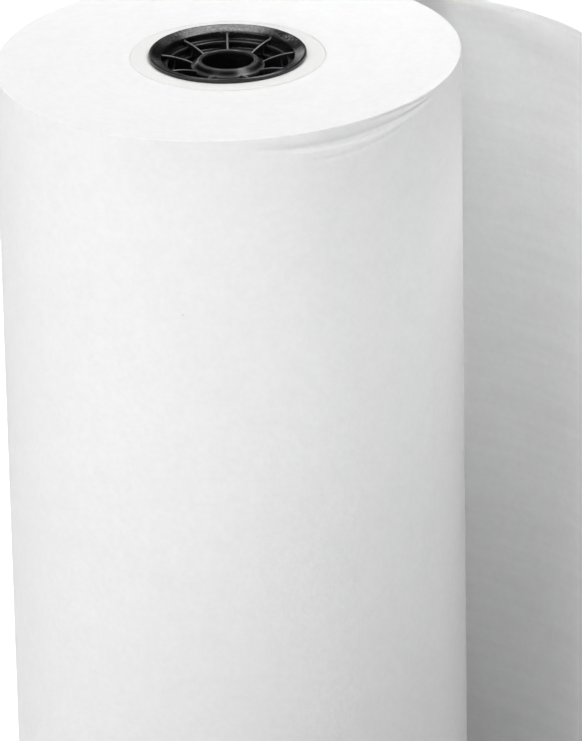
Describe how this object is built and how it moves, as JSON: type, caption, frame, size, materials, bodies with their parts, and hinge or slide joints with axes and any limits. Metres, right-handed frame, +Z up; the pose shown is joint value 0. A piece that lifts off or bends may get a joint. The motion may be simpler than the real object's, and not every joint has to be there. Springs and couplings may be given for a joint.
{
  "type": "backdrop paper roll",
  "caption": "White paper wound on a board core, stood on end, with a ribbed plug for a rod in each end of the core and the free end of the paper curling off the roll.",
  "frame": {"origin": "on the roll's axis, at the level of the paper's lower end, on which the roll stands", "axes": "+Z up along the roll's axis; +X towards the side on which the free end of the paper hangs; +Y towards the back, where the paper leaves the roll"},
  "size_m": [0.3034, 0.229, 0.9166],
  "materials": {
    "paper": "matt uncoated white paper",
    "core_board": "pale spiral-wound paperboard",
    "plug_plastic": "black injection-moulded plastic, satin",
    "strip_tape": "double-sided adhesive paper tape"
  },
  "bodies": {
    "roll": {"paper_roll": "paper", "start_strip": "strip_tape", "core_tube": "core_board"},
    "sheet": {"loose_sheet": "paper"},
    "top_plug": {"top_core_plug": "plug_plastic"},
    "bottom_plug": {"bottom_core_plug": "plug_plastic"}
  },
  "joints": [
    {"name": "sheet_unwind", "type": "hinge", "parent": "roll", "child": "sheet", "pos_m": [0, 0, 0.4572], "axis": [0, 0, 1], "continuous": true},
    {"name": "top_plug_pull", "type": "slide", "parent": "roll", "child": "top_plug", "axis": [0, 0, 1], "range_m": [0, 0.04]},
    {"name": "bottom_plug_pull", "type": "slide", "parent": "roll", "child": "bottom_plug", "axis": [0, 0, -1], "range_m": [0, 0.04]}
  ]
}
